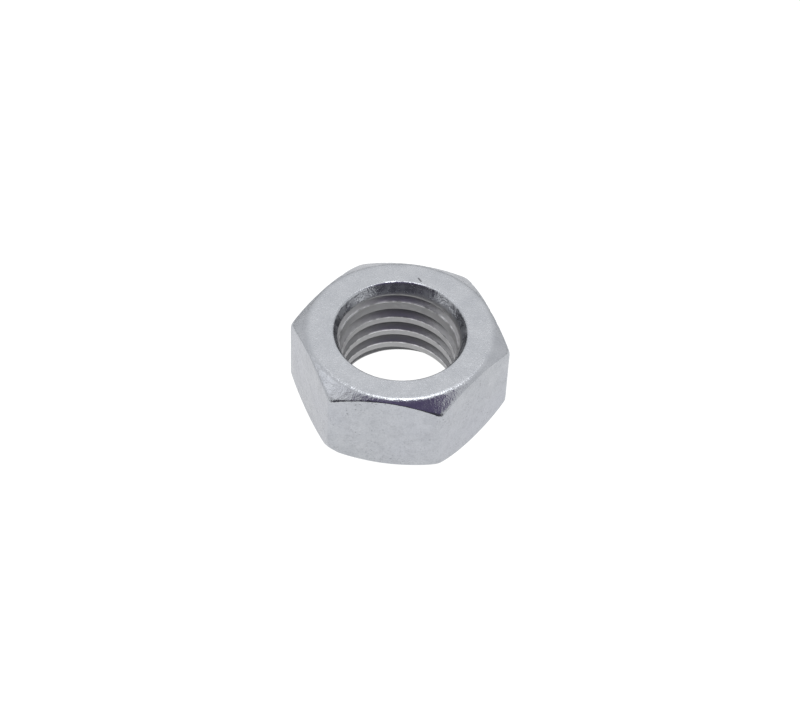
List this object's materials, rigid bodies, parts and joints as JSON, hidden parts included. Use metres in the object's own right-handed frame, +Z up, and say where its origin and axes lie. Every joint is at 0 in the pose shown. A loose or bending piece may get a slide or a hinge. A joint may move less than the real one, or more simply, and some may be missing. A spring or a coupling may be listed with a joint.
{
  "type": "hex nut",
  "caption": "Hexagonal steel nut with a coarse right-hand metric thread, chamfered and countersunk on both sides, for clamping parts on a bolt or stud.",
  "frame": {"origin": "centre of the lower bearing face, on the thread axis", "axes": "+Z up the thread axis to the upper bearing face; two opposite corners of the hexagon lie on the X axis, so the flats of one pair face +Y and -Y"},
  "size_m": [0.0206, 0.018, 0.0088],
  "materials": {
    "zinc_plated_steel": "bright zinc plating with a soft tumbled sheen, fine orange-peel grain and small handling nicks"
  },
  "bodies": {
    "root": {"hex_nut_body": "zinc_plated_steel"}
  },
  "joints": []
}
